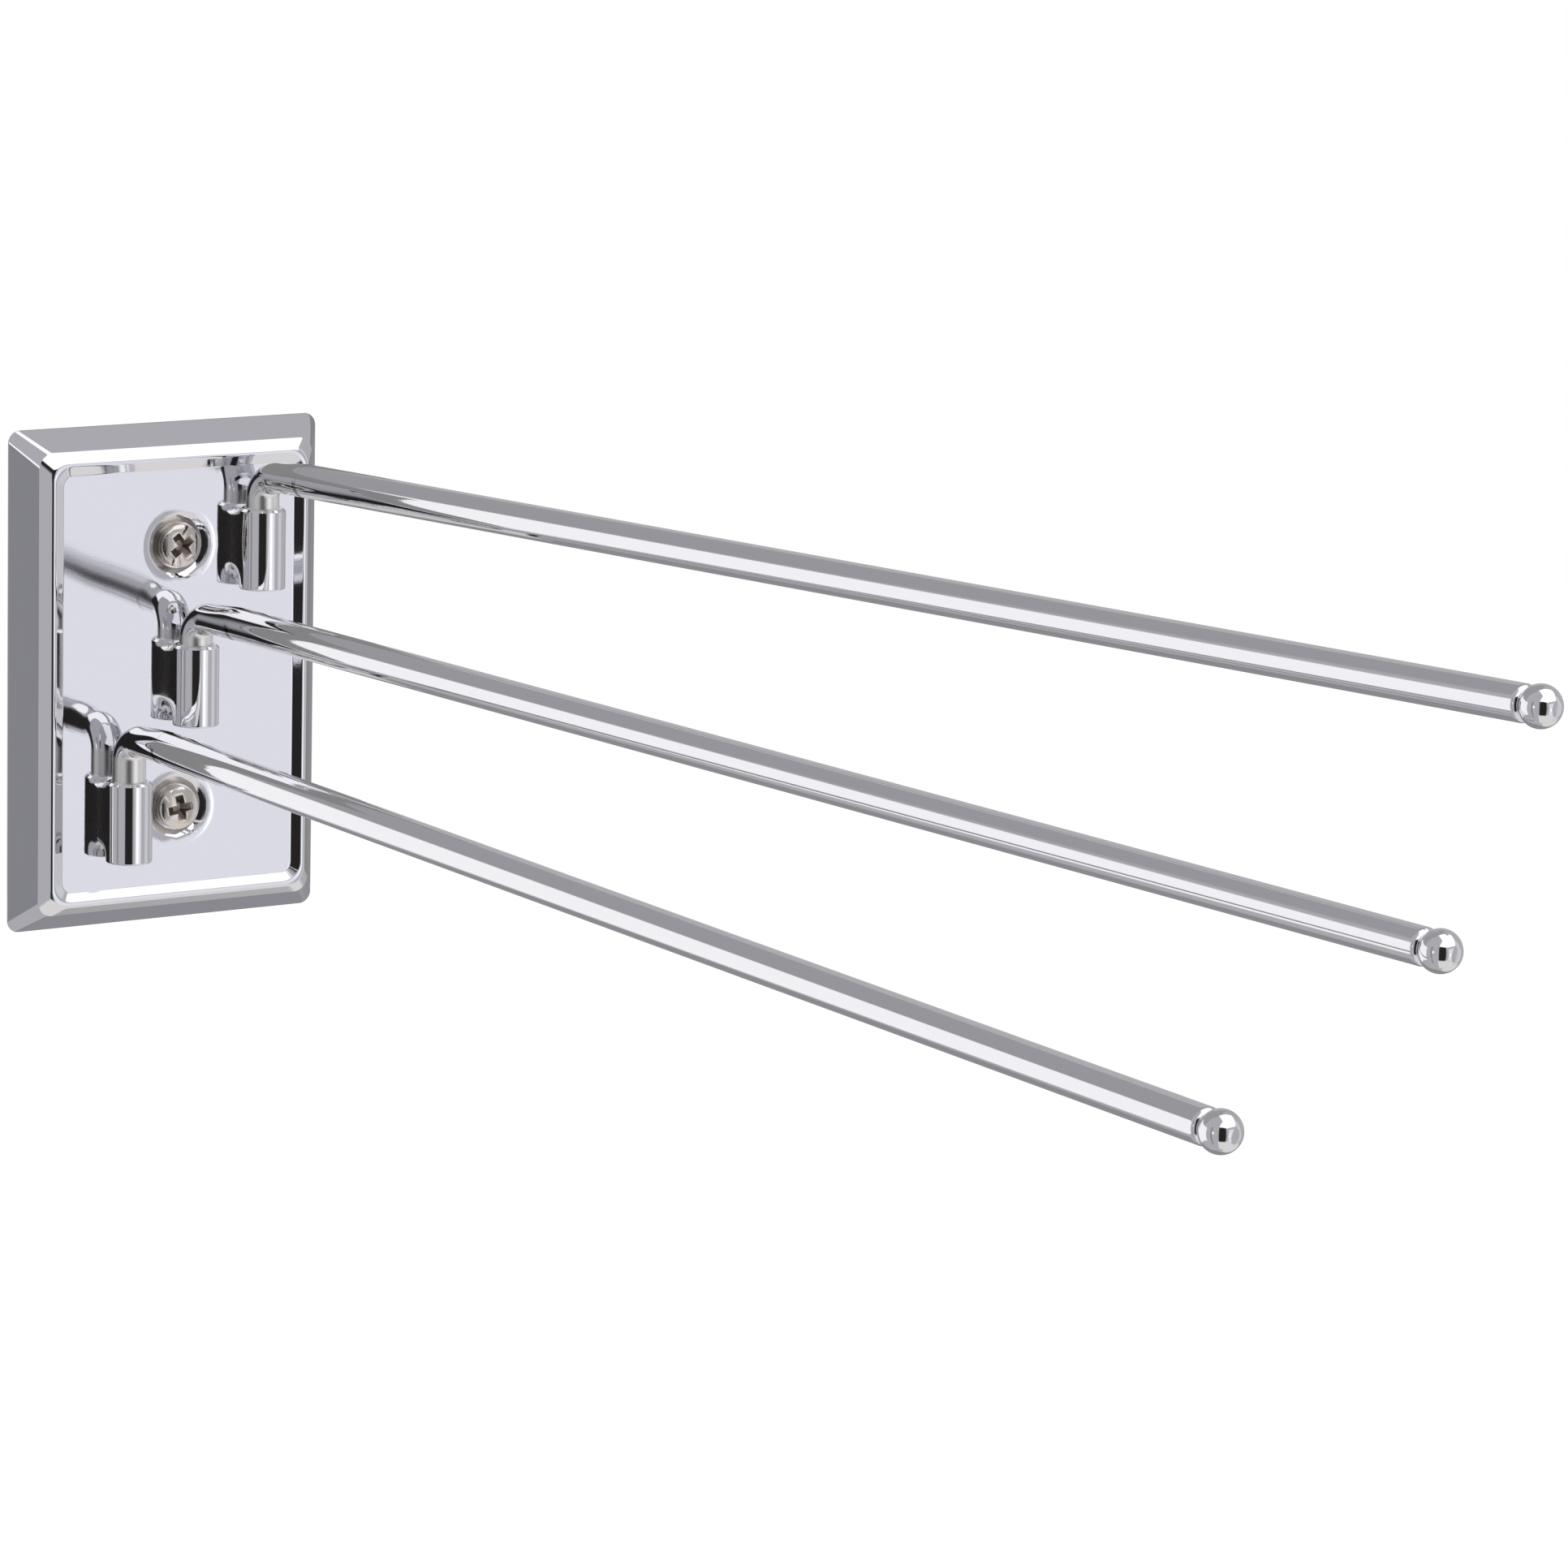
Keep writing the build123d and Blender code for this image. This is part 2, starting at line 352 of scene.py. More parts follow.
def rounded(corners, steps=ARC_STEPS):
    """Polyline through (a, b, radius) corners, with arcs at the corners and holding points beside them."""
    line = [Vector(corners[0][:2])]
    for before, corner, after in zip(corners, corners[1:], corners[2:]):
        point = Vector(corner[:2])
        come = (point - Vector(before[:2])).normalized()
        go = (Vector(after[:2]) - point).normalized()
        turn = math.atan2(come.x * go.y - come.y * go.x, come.dot(go))
        start = point - come * corner[2] * math.tan(abs(turn) / 2)
        centre = start + Vector((-come.y, come.x)) * math.copysign(corner[2], turn)
        for step in range(steps + 1):
            spin = Matrix.Rotation(turn * step / steps, 2)
            line.append(centre + spin @ (start - centre))
    line.append(Vector(corners[-1][:2]))
    return held(line)


def held(line):
    """Add points close to both ends of each long straight stretch, so that shading stays flat along it."""
    full = [line[0]]
    for before, after in zip(line, line[1:]):
        gap = after - before
        if gap.length > HELD_LENGTH:
            full.append(before + gap.normalized() * HOLD)
            full.append(after - gap.normalized() * HOLD)
        if gap.length > TINY:
            full.append(after)
    return full


def turned(shell, profile):
    """Turned shape through (radius, height) points that start on its axis. Returns its last ring."""
    last = None
    for radius, height in profile:
        if radius > TINY:
            ring = shell.grow(last, [polar(a, radius, height) for a in TURN_ANGLES])
            if last is None:
                shell.cap(ring, (0, 0, profile[0][1]))
            last = ring
        elif last:
            shell.cap(last, (0, 0, height))
    return last


def corner_radius(inset):
    """Radius of the plate's corners at one inset from its edge."""
    for (low, first), (high, second) in zip(CORNER_R, CORNER_R[1:]):
        if inset <= high:
            return between(first, second, max(0, inset - low) / (high - low))
    return CORNER_R[-1][1]


def outline(inset):
    """Points round the plate's outline at one inset, counterclockwise from the middle of its right side."""
    wide, high, radius = HALF_W - inset, HALF_H - inset, corner_radius(inset)
    flat_w, flat_h = wide - radius, high - radius
    # Each straight stretch, and the start angle and centre of the arc that follows it
    stretches = [
        ((wide, 0), (wide, flat_h), (0, flat_w, flat_h)),
        ((flat_w, high), (-flat_w, high), (90, -flat_w, flat_h)),
        ((-wide, flat_h), (-wide, 0), None),
        ((-wide, 0), (-wide, -flat_h), (180, -flat_w, -flat_h)),
        ((-flat_w, -high), (flat_w, -high), (270, flat_w, -flat_h)),
        ((wide, -flat_h), (wide, 0), None),
    ]
    points = []
    for start, end, arc in stretches:
        points += [Vector(start).lerp(Vector(end), share) for share in SIDE_SHARES[:-1]]
        if arc:
            angle, *centre = arc
            for step in range(CORNER_STEPS):
                turn = math.radians(angle + 90 * step / CORNER_STEPS)
                points.append(Vector(centre) + radius * Vector((math.cos(turn), math.sin(turn))))
    return points


def set_back(corners, skin):
    """The inner corners of a line of (a, b, radius) corners, moved one skin's depth to the line's right."""
    moved = []
    for before, corner, after in zip(corners, corners[1:], corners[2:]):
        point = Vector(corner[:2])
        come = (point - Vector(before[:2])).normalized()
        go = (Vector(after[:2]) - point).normalized()
        normals = Vector((come.y + go.y, -come.x - go.x))
        place = point + normals * skin * 2 / normals.length_squared
        turn = come.x * go.y - come.y * go.x
        moved.append((*place, max(corner[2] + math.copysign(skin, turn), LEAST_R)))
    return moved


def border_profile(skin):
    """(inset, lift) points across the border, from the wall to the panel, one skin's depth inside."""
    edge = FOOT[0] + PANEL_MARGIN
    corners = set_back([(0, 0, 0), BREAK, RIDGE, FOOT, (edge, FOOT[1], 0)], skin)
    wall = skin / math.sin(math.atan2(BREAK[1], BREAK[0]))
    # On the wall both faces start inside the sheet's cut edge, whose corners are rounded
    rim = RIM_R if skin == 0 else -RIM_R / 2
    return rounded([(wall + rim, 0, 0), (wall, 0, abs(rim) / 2), *corners, (edge, FOOT[1] - skin, 0)])


def dish_profile(skin):
    """(radius, depth) points of a screw seat, from the panel down to its hole, one skin's depth inside."""
    slope = math.atan2(DISH_DEPTH, DISH_SLOPE_RUN)
    spread = skin * math.tan(slope / 2)
    seat_r = DISH_SEAT_R + spread
    mouth_r = seat_r + DISH_SLOPE_RUN
    return rounded([
        (mouth_r + DISH_REACH, 0, 0),
        (mouth_r, 0, DISH_EDGE_INSIDE_R + SHEET - skin),
        (seat_r, -DISH_DEPTH, DISH_FLOOR_R + skin),
        (SCREW_HOLE_R, -DISH_DEPTH, 0),
    ])


def unevenness(x, z):
    """How far the panel lifts from flat at one place: a soft swell round each seat, and faint waves."""
    foot = FOOT[0] + PANEL_MARGIN
    inside = min(HALF_W - foot - abs(x), HALF_H - foot - abs(z))
    sideways = (x + SIDEWAYS_WAVE["slant"] * z) / SIDEWAYS_WAVE["length"]
    upward = (z + UPWARD_WAVE["slant"] * x) / UPWARD_WAVE["length"]
    lift = WAVE_LIFT * (math.sin(2 * math.pi * sideways) + math.cos(2 * math.pi * upward))
    for screw in SCREWS.values():
        distance = math.hypot(x, z - screw["side"] * SCREW_SPACING / 2) - DISH_SEAT_R - DISH_SLOPE_RUN
        lift += BULGE_LIFT * math.exp(-((max(distance, 0) / BULGE_SPREAD) ** 2))
    return lift * smooth_step(inside / WAVE_FADE)


def plate_skin(shell, skin):
    """One face of the pressed sheet. Returns its ring at the wall and its rings at the two screw holes."""
    panel = FOOT[1] - skin
    base, edge = None, None
    for inset, lift in border_profile(skin):
        edge = shell.grow(edge, [(p.x, -lift, p.y) for p in outline(inset)])
        base = base or edge
    half = len(edge) // 2
    right, left = shell.points[edge[0]], shell.points[edge[half]]
    spots = [left.lerp(right, share) for share in SIDE_SHARES[1:-1]]
    middle = shell.ring([(p.x, -panel - unevenness(p.x, p.z), p.z) for p in spots])
    loops = {1: edge[:half + 1] + middle, -1: edge[half:] + [edge[0]] + middle[::-1]}
    holes = [seat(shell, loops[screw["side"]], screw["side"], skin) for screw in SCREWS.values()]
    return base, holes


def seat(shell, loop, side, skin):
    """Half of the panel, from its edge in to a screw seat's hole. Returns the ring at the hole."""
    panel = FOOT[1] - skin
    profile = dish_profile(skin)
    centre = Vector((0, side * SCREW_SPACING / 2))
    edge = [Vector((shell.points[i].x, shell.points[i].z)) for i in loop]
    mouth = [centre + profile[0].x * (p - centre).normalized() for p in edge]
    last = loop
    for share in reversed(PANEL_SHARES):
        spots = [inner.lerp(outer, share) for inner, outer in zip(mouth, edge)]
        last = shell.grow(last, [(p.x, -panel - unevenness(p.x, p.y), p.y) for p in spots])
    for radius, depth in profile:
        spots = [centre + radius * (p - centre).normalized() for p in edge]
        last = shell.grow(last, [(p.x, -panel - depth - unevenness(p.x, p.y), p.y) for p in spots])
    return last


def wall_plate(material):
    """Pressed sheet plate with both faces, its rim on the wall and two drilled seats."""
    shell = Shell()
    front_base, front_holes = plate_skin(shell, 0)
    back_base, back_holes = plate_skin(shell, SHEET)
    shell.bridge(front_base, back_base)
    for front, back in zip(front_holes, back_holes):
        shell.bridge(front, back)
    make_piece("pressed_plate", shell, "wall_plate", material)


def weld_reach(angle, radius, depth):
    """Distance from a socket's axis to its skin at one angle and depth: round, and square behind."""
    if math.sin(angle) <= 0:
        return radius
    square = radius / max(abs(math.cos(angle)), math.sin(angle))
    share = smooth_step((depth - WELD_TOP[0]) / (WELD_TOP[1] - WELD_TOP[0]))
    share *= smooth_step((WELD_END[1] - depth) / (WELD_END[1] - WELD_END[0]))
    return between(radius, square, share)


def socket(name, material):
    """Blind cup: chamfered rim, bored mouth, rounded base and a weld foot against the panel."""
    node = "socket_" + name
    low, high = node_box(node)
    radius = (high.x - low.x) / 2
    height = high.z - low.z
    bore = rounded([
        (0, SOCKET_FLOOR - height, 0),
        (BORE_R, SOCKET_FLOOR - height, SOCKET_EDGE_R),
        (BORE_R, -SOCKET_MOUTH_CHAMFER, SOCKET_EDGE_R),
        (BORE_R + SOCKET_MOUTH_CHAMFER, 0, SOCKET_EDGE_R / 2),
        (radius - SOCKET_RIM_CHAMFER, 0, SOCKET_EDGE_R),
        (radius, -SOCKET_RIM_CHAMFER, SOCKET_EDGE_R),
        (radius, -WELD_TOP[0], 0),
    ], SOCKET_ARC_STEPS)
    base = rounded([
        (radius, -WELD_END[1], 0),
        (radius, -height, SOCKET_BASE_R),
        (0, -height, 0),
    ])
    depths = [between(*WELD_TOP, i / ARC_STEPS) for i in range(1, ARC_STEPS + 1)]
    depths += [WELD_TOP[1] + HOLD, WELD_END[0] - HOLD]
    depths += [between(*WELD_END, i / WELD_STEPS) for i in range(WELD_STEPS)]
    shell = Shell()
    last = turned(shell, bore)
    for depth in depths:
        last = shell.grow(last, [polar(a, weld_reach(a, radius, depth), -depth) for a in TURN_ANGLES])
    for reach, level in base:
        if reach > TINY:
            last = shell.grow(last, [polar(a, reach, level) for a in TURN_ANGLES])
    shell.cap(last, (0, 0, -height))
    pivot = low.y + radius
    shell.move(Matrix.Translation(((low.x + high.x) / 2, pivot, high.z)))

    # Rougher and painted paler towards the back of the socket, a painted sheen
    def dulling_and_painted_light(point):
        return smooth_step((point.y - pivot) / radius) * SOCKET_FLANK_DULL_AND_SHEEN

    make_piece("pivot_" + node, shell, node, material, dulling_and_painted_light)


def arm_place(name):
    """Matrix from an arm's own frame, with its bend corner at zero, to its place at rest."""
    low, high = node_box("socket_" + name)
    radius = (high.x - low.x) / 2
    corner = Vector(((low.x + high.x) / 2, low.y + radius, high.z + LEG_RISE + ARMS[name]["lift"]))
    return Matrix.Translation(corner) @ Matrix.Rotation(math.radians(ARMS[name]["swing"]), 4, "Z")


def arm_run(name):
    """Direction of an arm's long run in its own frame."""
    rise = math.radians(ARMS[name]["rise"])
    return Vector((0, -math.cos(rise), math.sin(rise)))


def rod_path(name):
    """(centre, direction, thinning) up the leg, round the bend and along the run to the rod's end."""
    along = arm_run(name)
    turn = math.pi / 2 - math.radians(ARMS[name]["rise"])
    setback = ARM_BEND_R * math.tan(turn / 2)
    leg_bottom = -LEG_RISE - LEG_IN_SOCKET
    heights = held([Vector((0, leg_bottom + LEG_CHAMFER)), Vector((0, -setback))])
    path = [(Vector((0, 0, h.y)), Vector((0, 0, 1)), 0.0) for h in heights[:-1]]
    hub = Vector((0, -ARM_BEND_R, -setback))
    for step in range(BEND_STEPS + 1):
        angle = turn * step / BEND_STEPS
        out = Vector((0, math.cos(angle), math.sin(angle)))
        thin = BEND_THINNING * smooth_step(step / BEND_STEPS / BEND_THINNING_SHARE)
        path.append((hub + ARM_BEND_R * out, Vector((0, -math.sin(angle), math.cos(angle))), thin))
    end = ARM_REACH - BALL_NECK_BACK - ROD_END_R
    count = round((end - setback) / RUN_STEP)
    reaches = [setback + BEND_FADE * i / ARC_STEPS for i in range(1, ARC_STEPS + 1)]
    reaches += [between(setback, end, i / count) for i in range(1, count)] + [end - HOLD, end]
    for reach in reaches:
        thin = BEND_THINNING * (1 - smooth_step((reach - setback) / BEND_FADE))
        path.append((along * reach, along, thin))
    return path


def rod_circle(centre, along, radius, thin=0.0):
    """Circle square to a direction in the arm's plane, flattened by a share on the outside of the bend."""
    across = Vector((1, 0, 0))
    up = along.cross(across)
    points = []
    for angle in TURN_ANGLES:
        rise = math.sin(angle) * (1 - thin if angle < math.pi else 1)
        points.append(centre + radius * (math.cos(angle) * across + rise * up))
    return points


def arm(name, material):
    """Bent rod with a chamfered leg, a rounded end and the spigot that holds the ball."""
    path = rod_path(name)
    foot, up, _ = path[0]
    end, along, _ = path[-1]
    bottom = foot - up * LEG_CHAMFER
    face = end + along * ROD_END_R
    spigot_end = face + along * SPIGOT_LENGTH
    circles = [(foot - up * LEG_EDGE_HOLD, up, ROD_R - LEG_EDGE_HOLD)]
    circles += [(centre, way, ROD_R, thin) for centre, way, thin in path]
    for step in range(1, ARC_STEPS + 1):
        angle = math.pi / 2 * step / ARC_STEPS
        radius = ROD_R - ROD_END_R * (1 - math.cos(angle))
        circles.append((end + along * ROD_END_R * math.sin(angle), along, radius))
    circles += [(face, along, SPIGOT_R), (spigot_end, along, SPIGOT_R)]
    shell = Shell()
    last = shell.ring(rod_circle(bottom, up, ROD_R - LEG_CHAMFER))
    shell.cap(last, bottom)
    for circle in circles:
        last = shell.grow(last, rod_circle(*circle))
    shell.cap(last, spigot_end)
    place = arm_place(name)
    shell.move(place)

    # Rougher and painted paler on the leg up to the bend, a painted sheen
    def dulling_and_painted_light(point):
        spot = place.inverted() @ point
        on_leg = spot.y > -2 * ROD_R
        return on_leg * smooth_step((LEG_DULL_AND_SHEEN_FADE - ARM_BEND_R - spot.z) / LEG_DULL_AND_SHEEN_FADE)

    make_piece("swing_arm_" + name, shell, "arm_" + name, material, dulling_and_painted_light)


def ball_tip(name, material):
    """Turned ball with a bored back against the rod's end and a slightly flattened tip."""
    tip_r = math.sqrt(BALL_R ** 2 - (BALL_R - BALL_TIP_FLAT) ** 2)
    back_r = math.sqrt(BALL_R ** 2 - BALL_NECK_BACK ** 2)
    start = math.atan2(-BALL_NECK_BACK, back_r)
    stop = math.atan2(BALL_R - BALL_TIP_FLAT, tip_r)
    bore_end = SPIGOT_LENGTH - BALL_NECK_BACK
    profile = [(0, bore_end), (SPIGOT_R, bore_end), (SPIGOT_R, -BALL_NECK_BACK)]
    profile.append((back_r - HOLD, -BALL_NECK_BACK))
    for step in range(BALL_STEPS + 1):
        angle = between(start, stop, step / BALL_STEPS)
        profile.append((BALL_R * math.cos(angle), BALL_R * math.sin(angle)))
    for share, swell in BALL_TIP_SWELL:
        profile.append((tip_r * share, BALL_R - BALL_TIP_FLAT * (1 - swell)))
    shell = Shell()
    turned(shell, profile)
    along = arm_run(name)
    turn = along.to_track_quat("Z", "X").to_matrix().to_4x4()
    shell.move(arm_place(name) @ Matrix.Translation(along * ARM_REACH) @ turn)
    make_piece("round_tip_" + name, shell, "ball_tip_" + name, material)


def cross_angles():
    """Angles round a cross recess: some across the end of each of its arms, more along their flanks."""
    end = math.atan2(CROSS_HALF_W, CROSS_HALF_SPAN)
    flank = math.pi / 2 - end
    quarter = [end * share for share in CROSS_END_SHARES]
    quarter += [between(end, flank, i / CROSS_FLANK_STEPS) for i in range(1, CROSS_FLANK_STEPS)]
    return [angle + side * math.pi / 2 for side in range(4) for angle in quarter]


def cross_reach(angle, half_span, half_w):
    """Distance from the centre to the outline of a cross recess at one angle."""
    folded = abs((angle + math.pi / 4) % (math.pi / 2) - math.pi / 4)
    side = half_w / math.sin(folded) if folded > TINY else half_span
    return min(half_span / math.cos(folded), side)


def crown_height(radius):
    """Height of a screw head's crown over its seat at one radius."""
    return HEAD_RISE - HEAD_CROWN * (radius / HEAD_R) ** 2


def head_rings(angles):
    """(radius, height) rings of a screw head, from the floor of its recess to the shoulder of its crown."""
    floor = HEAD_RISE - CROSS_DEPTH
    floor_span = CROSS_HALF_SPAN * CROSS_FLOOR_SPAN_SHARE
    floor_w = CROSS_HALF_W * CROSS_FLOOR_WIDTH_SHARE
    feet = [cross_reach(a, floor_span, floor_w) for a in angles]
    lips = [cross_reach(a, CROSS_HALF_SPAN, CROSS_HALF_W) for a in angles]
    brims = [r * LIP_SWELL for r in lips]
    rings = [[(r * share, floor) for r in feet] for share in CROSS_FLOOR_SHARES]
    for share in CROSS_WALL_SHARES:
        span = between(floor_span, CROSS_HALF_SPAN, share)
        width = between(floor_w, CROSS_HALF_W, share)
        walls = [cross_reach(a, span, width) for a in angles]
        rings.append([(r, between(floor, crown_height(lip), share)) for r, lip in zip(walls, lips)])
    rings.append([(r + LIP_OUT, crown_height(r) - LIP_DROP) for r in lips])
    rings.append([(r + LIP_OUT, crown_height(r)) for r in brims])
    for share in CROWN_SHARES:
        radii = [between(r, HEAD_SHOULDER_R, share) for r in brims]
        rings.append([(r, crown_height(r)) for r in radii])
    return rings


def thread_radius(angle, depth):
    """Radius of the screw's thread at one angle and depth below the neck."""
    turns = (depth / THREAD_PITCH - angle / (2 * math.pi)) % 1.0
    ridge = max(0.0, 1 - abs(turns - 0.5) / THREAD_RIDGE_SHARE)
    length = SCREW_LENGTH - NECK_LENGTH
    taper = min(1.0, max(0.0, length - depth) / SCREW_TIP)
    run_in = min(1.0, depth / THREAD_PITCH)
    return between(THREAD_CORE_R, THREAD_R, ridge * run_in) * max(taper, SCREW_POINT_SHARE)


def wall_screw(name, material):
    """Pan-head wood screw: cross recess, plain neck and a tapering thread."""
    screw = SCREWS[name]
    angles = cross_angles()
    spots = [a + math.radians(screw["turn"]) for a in angles]
    head = [[polar(a, *place) for a, place in zip(spots, ring)] for ring in head_rings(angles)]
    shell = Shell()
    last = shell.ring(head[0])
    shell.cap(last, (0, 0, HEAD_RISE - CROSS_DEPTH))
    for points in head[1:]:
        last = shell.grow(last, points)
    shoulder = crown_height(HEAD_SHOULDER_R)
    edge = rounded([
        (HEAD_SHOULDER_R, shoulder, 0),
        (HEAD_R, shoulder - HEAD_EDGE_DROP, HEAD_EDGE_R),
        (HEAD_R, 0, HEAD_FOOT_R),
        (NECK_R, 0, NECK_FILLET_R),
        (NECK_R, -NECK_LENGTH, 0),
    ])
    for radius, level in edge[1:]:
        last = shell.grow(last, [polar(a, radius, level) for a in spots])
    length = SCREW_LENGTH - NECK_LENGTH
    count = round(length / THREAD_PITCH * THREAD_STEPS)
    for step in range(1, count):
        depth = length * step / count
        points = [polar(a, thread_radius(a, depth), -NECK_LENGTH - depth) for a in spots]
        last = shell.grow(last, points)
    shell.cap(last, (0, 0, -SCREW_LENGTH))
    seat_lift = FOOT[1] - DISH_DEPTH
    facing = Matrix.Rotation(math.radians(90), 4, "X")
    place = Matrix.Translation((0, -seat_lift, screw["side"] * SCREW_SPACING / 2)) @ facing
    shell.move(place)

    # Rougher and painted brown below the crown: painted shade in the recess and on the head side
    def dulling_and_painted_light(point):
        spot = place.inverted() @ point
        radius = math.hypot(spot.x, spot.y)
        sunk = smooth_step((crown_height(radius) - spot.z) / RECESS_SHADE_FADE)
        return sunk * (1 if radius < HEAD_SHOULDER_R else HEAD_SIDE_DULL_AND_SHADE)

    make_piece("mount_screw_" + name, shell, "wall_screw_" + name, material, dulling_and_painted_light)


def opaque(colour):
    return (*colour, 1.0)


class Wiring:
    """Adds nodes to one node tree and joins them up."""

    def __init__(self, tree):
        self.tree = tree

    def feed(self, node, inputs):
        """Set each input of a node to its value, or join it to another node's output."""
        for key, value in inputs.items():
            if isinstance(value, bpy.types.NodeSocket):
                self.tree.links.new(value, node.inputs[key])
            else:
                node.inputs[key].default_value = value

    def add(self, kind, inputs, **settings):
        """Add a node with the given inputs and settings, and return its outputs."""
        node = self.tree.nodes.new(kind)
        for name, value in settings.items():
            setattr(node, name, value)
        self.feed(node, inputs)
        return node.outputs

    def maths(self, operation, *values):
        return self.add("ShaderNodeMath", dict(enumerate(values)), operation=operation)["Value"]

    def blend(self, share, under, over):
        """One colour over another by a share."""
        inputs = {"Factor": share, "A": under, "B": over}
        return self.add("ShaderNodeMix", inputs, data_type="RGBA")["Result"]

    def noise(self, scale, detail):
        """Noise in the object's own space."""
        place = self.add("ShaderNodeTexCoord", {})["Object"]
        inputs = {"Vector": place, "Scale": scale, "Detail": detail}
        return self.add("ShaderNodeTexNoise", inputs)["Fac"]

    def window(self, distance, half, soft):
        """1 where an angle stays under half a width in degrees, falling smoothly to 0 past it."""
        inputs = {
            "Value": distance,
            "From Min": math.radians(half + soft),
            "From Max": math.radians(half - soft),
        }
        return self.add("ShaderNodeMapRange", inputs, interpolation_type="SMOOTHSTEP")["Result"]


def plated_metal(name):
    """Bright plated metal with soft hazy patches, a fine grain, and where a mesh is marked more roughness
    and a painted tone: painted shade on the screws, a painted paler sheen on the rods.
    """
    metal = METALS[name]
    material = bpy.data.materials.new(name)
    material.use_nodes = True
    wiring = Wiring(material.node_tree)
    mark = wiring.add("ShaderNodeAttribute", {}, attribute_name=DULL_AND_PAINTED_LIGHT)["Fac"]
    patches = wiring.add("ShaderNodeMapRange", {
        "Value": wiring.noise(HAZE_SCALE, HAZE_DETAIL),
        "From Min": HAZE_RANGE[0],
        "From Max": HAZE_RANGE[1],
        "To Min": metal["roughness"],
        "To Max": metal["roughness"] + metal["haze"],
    })["Result"]
    grain = wiring.add("ShaderNodeBump", {
        "Strength": metal["grain"],
        "Distance": GRAIN_DEPTH,
        "Height": wiring.noise(GRAIN_SCALE, GRAIN_DETAIL),
    })["Normal"]
    wiring.feed(material.node_tree.nodes["Principled BSDF"], {
        "Metallic": 1.0,
        # Marked places take the painted tone: painted shade on the screws, a painted paler sheen on the
        # rods
        "Base Color": wiring.blend(mark, opaque(metal["colour"]), opaque(metal["painted_light_tone"])),
        "Roughness": wiring.maths("MULTIPLY_ADD", mark, DULL_ROUGHNESS, patches),
        "Normal": grain,
    })
    return material


def build_object():
    metals = {name: plated_metal(name) for name in METALS}
    wall_plate(metals["plate_chrome"])
    for name in ARMS:
        socket(name, metals["rod_chrome"])
        arm(name, metals["rod_chrome"])
        ball_tip(name, metals["rod_chrome"])
    for name in SCREWS:
        wall_screw(name, metals["screw_nickel"])


def camera():
    """Camera at the photo's viewing angle."""
    yaw, pitch, roll = (math.radians(a) for a in (CAMERA_YAW, CAMERA_PITCH, CAMERA_ROLL))
    ahead = Vector((math.sin(yaw) * math.cos(pitch), math.cos(yaw) * math.cos(pitch), -math.sin(pitch)))
    level = Vector((math.cos(yaw), -math.sin(yaw), 0))
    right = math.cos(roll) * level + math.sin(roll) * level.cross(ahead)
    up = right.cross(ahead)
    data = bpy.data.cameras.new("camera")
    data.sensor_width = SENSOR_WIDTH
    data.lens = FOCAL_PIXELS / FRAME_PIXELS * SENSOR_WIDTH
    data.clip_start = CLIP_START
    data.clip_end = CLIP_END
    eye = bpy.data.objects.new("camera", data)
    turn = Matrix((right, up, -ahead)).transposed().to_4x4()
    eye.matrix_world = Matrix.Translation(CAMERA_PLACE) @ turn
    bpy.context.scene.collection.objects.link(eye)
    bpy.context.scene.camera = eye


def panel_share(wiring, direction, panel):
    """How much of a studio panel lies in one direction."""
    maths = wiring.maths
    azimuth, *across = panel["azimuth"]
    elevation, *upward = panel["elevation"]
    sine, cosine = math.sin(math.radians(azimuth)), math.cos(math.radians(azimuth))
    x, y = direction["X"], direction["Y"]
    ahead = maths("SUBTRACT", maths("MULTIPLY", x, sine), maths("MULTIPLY", y, cosine))
    aside = maths("ADD", maths("MULTIPLY", x, cosine), maths("MULTIPLY", y, sine))
    turn = maths("ABSOLUTE", maths("ARCTAN2", aside, ahead))
    climb = maths("SUBTRACT", maths("ARCSINE", direction["Z"]), math.radians(elevation))
    climb = maths("ABSOLUTE", climb)
    return maths("MULTIPLY", wiring.window(turn, *across), wiring.window(climb, *upward))


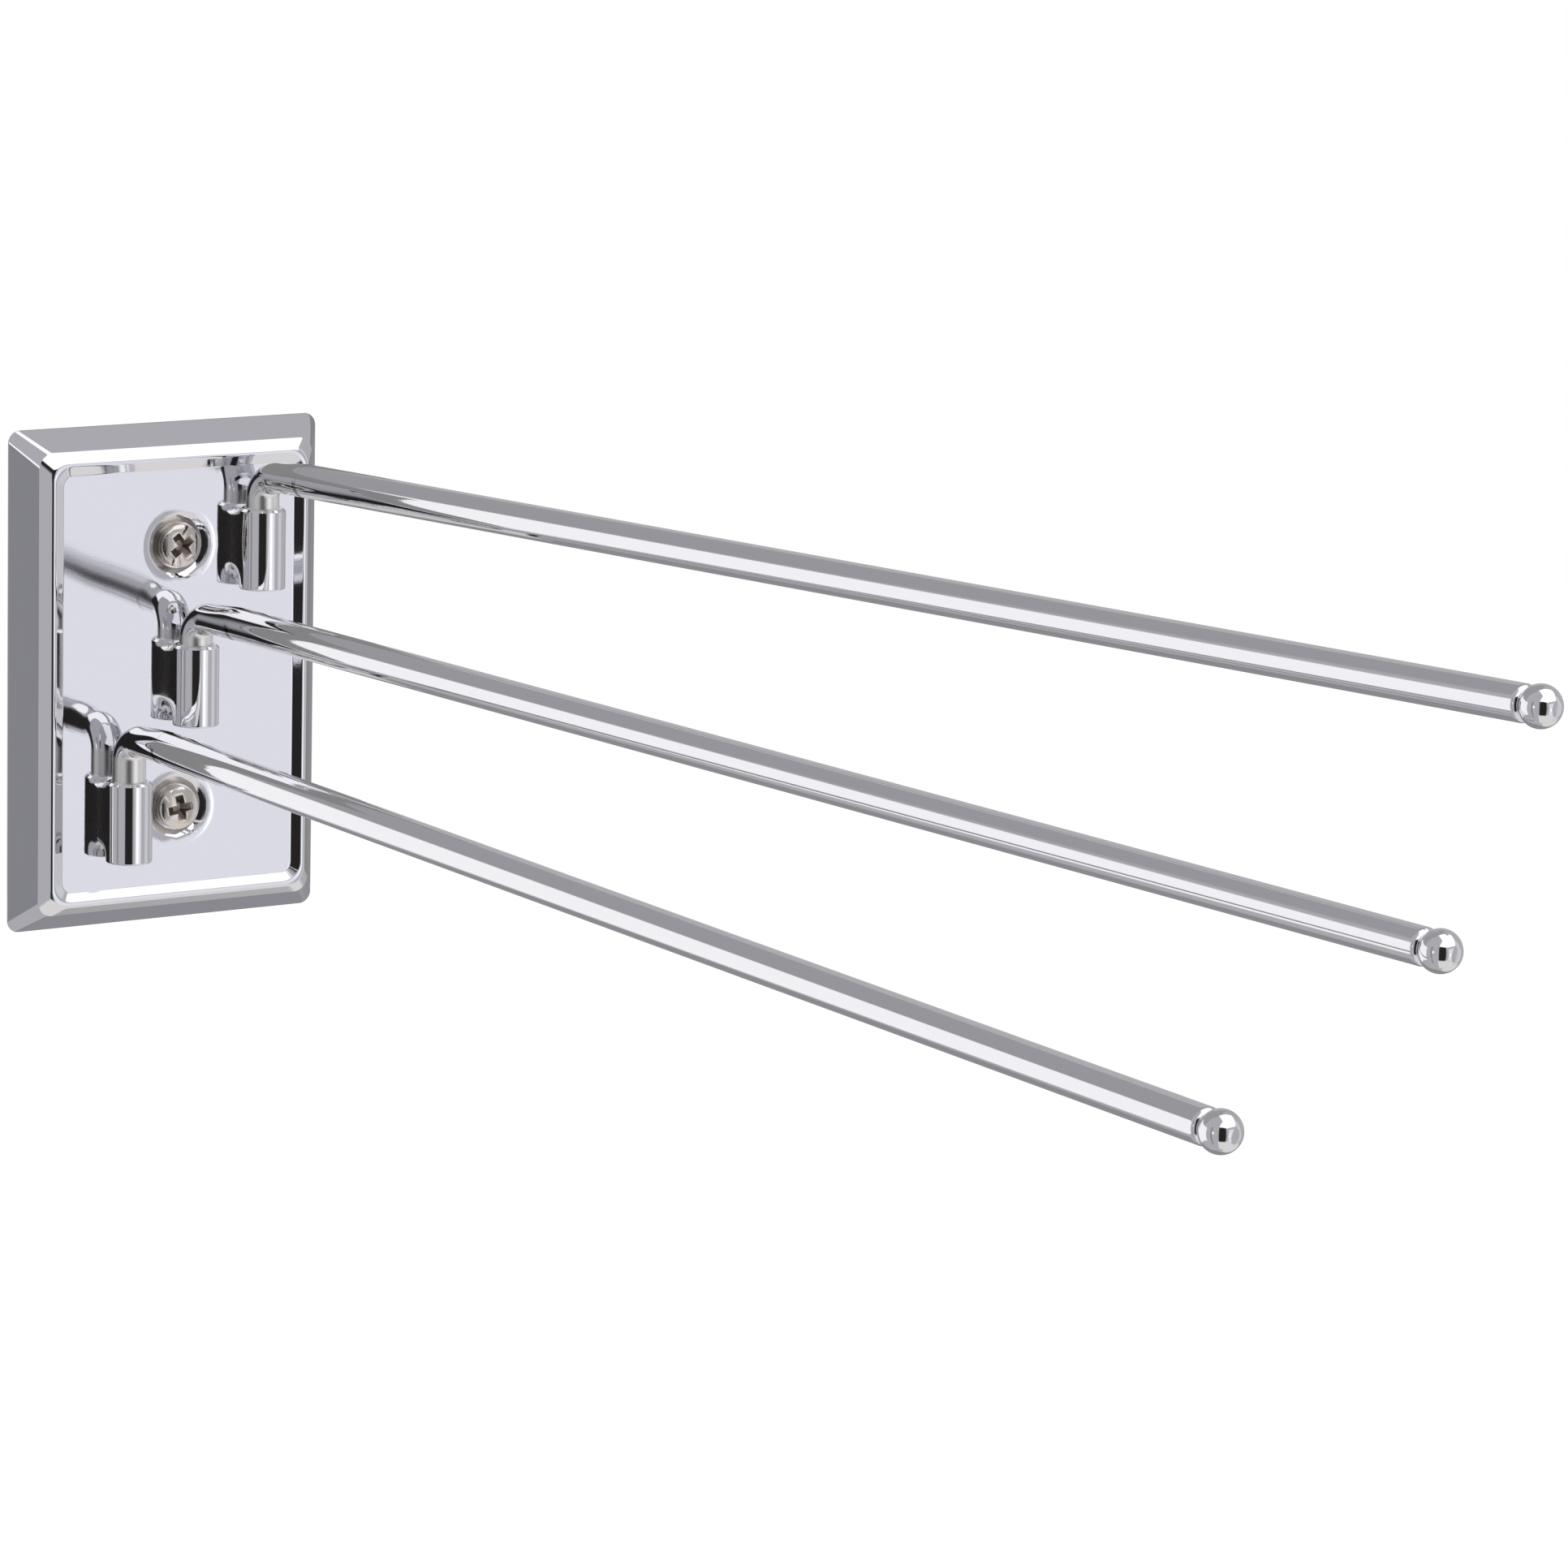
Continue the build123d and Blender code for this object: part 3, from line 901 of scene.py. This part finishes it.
def surroundings():
    """White to the camera, a photo studio to the metal, and plain soft light to the floor."""
    world = bpy.data.worlds.new("studio")
    bpy.context.scene.world = world
    world.use_nodes = True
    wiring = Wiring(world.node_tree)
    place = wiring.add("ShaderNodeTexCoord", {})["Generated"]
    direction = wiring.add("ShaderNodeSeparateXYZ", {"Vector": place})
    room = opaque(ROOM_LIGHT)
    for panel in PANELS.values():
        room = wiring.blend(panel_share(wiring, direction, panel), room, opaque(panel["light"]))
    path = wiring.add("ShaderNodeLightPath", {})
    mirrored = wiring.maths("MAXIMUM", path["Is Glossy Ray"], path["Is Transmission Ray"])
    light = wiring.blend(mirrored, opaque(FILL_LIGHT), room)
    light = wiring.blend(path["Is Camera Ray"], light, opaque(WHITE))
    wiring.feed(world.node_tree.nodes["Background"], {"Color": light})


def stage_card(name, corners, paint, *values):
    """A flat studio card through the given corners in metres, with its material set up by paint."""
    mesh = bpy.data.meshes.new(name)
    mesh.from_pydata(corners, [], [range(len(corners))])
    material = bpy.data.materials.new(name)
    material.use_nodes = True
    paint(Wiring(material.node_tree), *values)
    mesh.materials.append(material)
    card = bpy.data.objects.new(name, mesh)
    bpy.context.scene.collection.objects.link(card)
    return card


def glowing(wiring, strength):
    """Even white light."""
    light = wiring.add("ShaderNodeEmission", {"Strength": strength})["Emission"]
    wiring.feed(wiring.tree.nodes["Material Output"], {"Surface": light})


def pale_floor(wiring):
    """Pale floor that keeps shadows and shows near-white to the camera."""
    seen = wiring.add("ShaderNodeLightPath", {})["Is Camera Ray"]
    wiring.feed(wiring.tree.nodes["Principled BSDF"], {
        "Base Color": opaque(FLOOR_COLOUR),
        "Roughness": FLOOR_ROUGHNESS,
        "Emission Color": opaque(WHITE),
        "Emission Strength": wiring.maths("MULTIPLY", seen, FLOOR_LIFT),
    })


def studio():
    """Surroundings, an overhead softbox, a board behind the rack and a pale floor well below it."""
    surroundings()
    half = FLOOR_SIZE / 2
    square = ((-half, -half), (half, -half), (half, half), (-half, half))
    below = [(x, y, FLOOR_LEVEL) for x, y in square]
    above = [(x, y, SOFTBOX_HEIGHT) for x, y in SOFTBOX_CORNERS]
    behind = [(x, BOARD_BACK, z) for x, z in BOARD_CORNERS]
    stage_card("softbox", above, glowing, SOFTBOX_LIGHT).visible_camera = False
    stage_card("board", behind, glowing, BOARD_LIGHT).visible_camera = False
    stage_card("floor", below, pale_floor).visible_glossy = False


def main():
    bpy.context.scene.view_settings.view_transform = "Standard"
    build_object()
    camera()
    studio()


main()
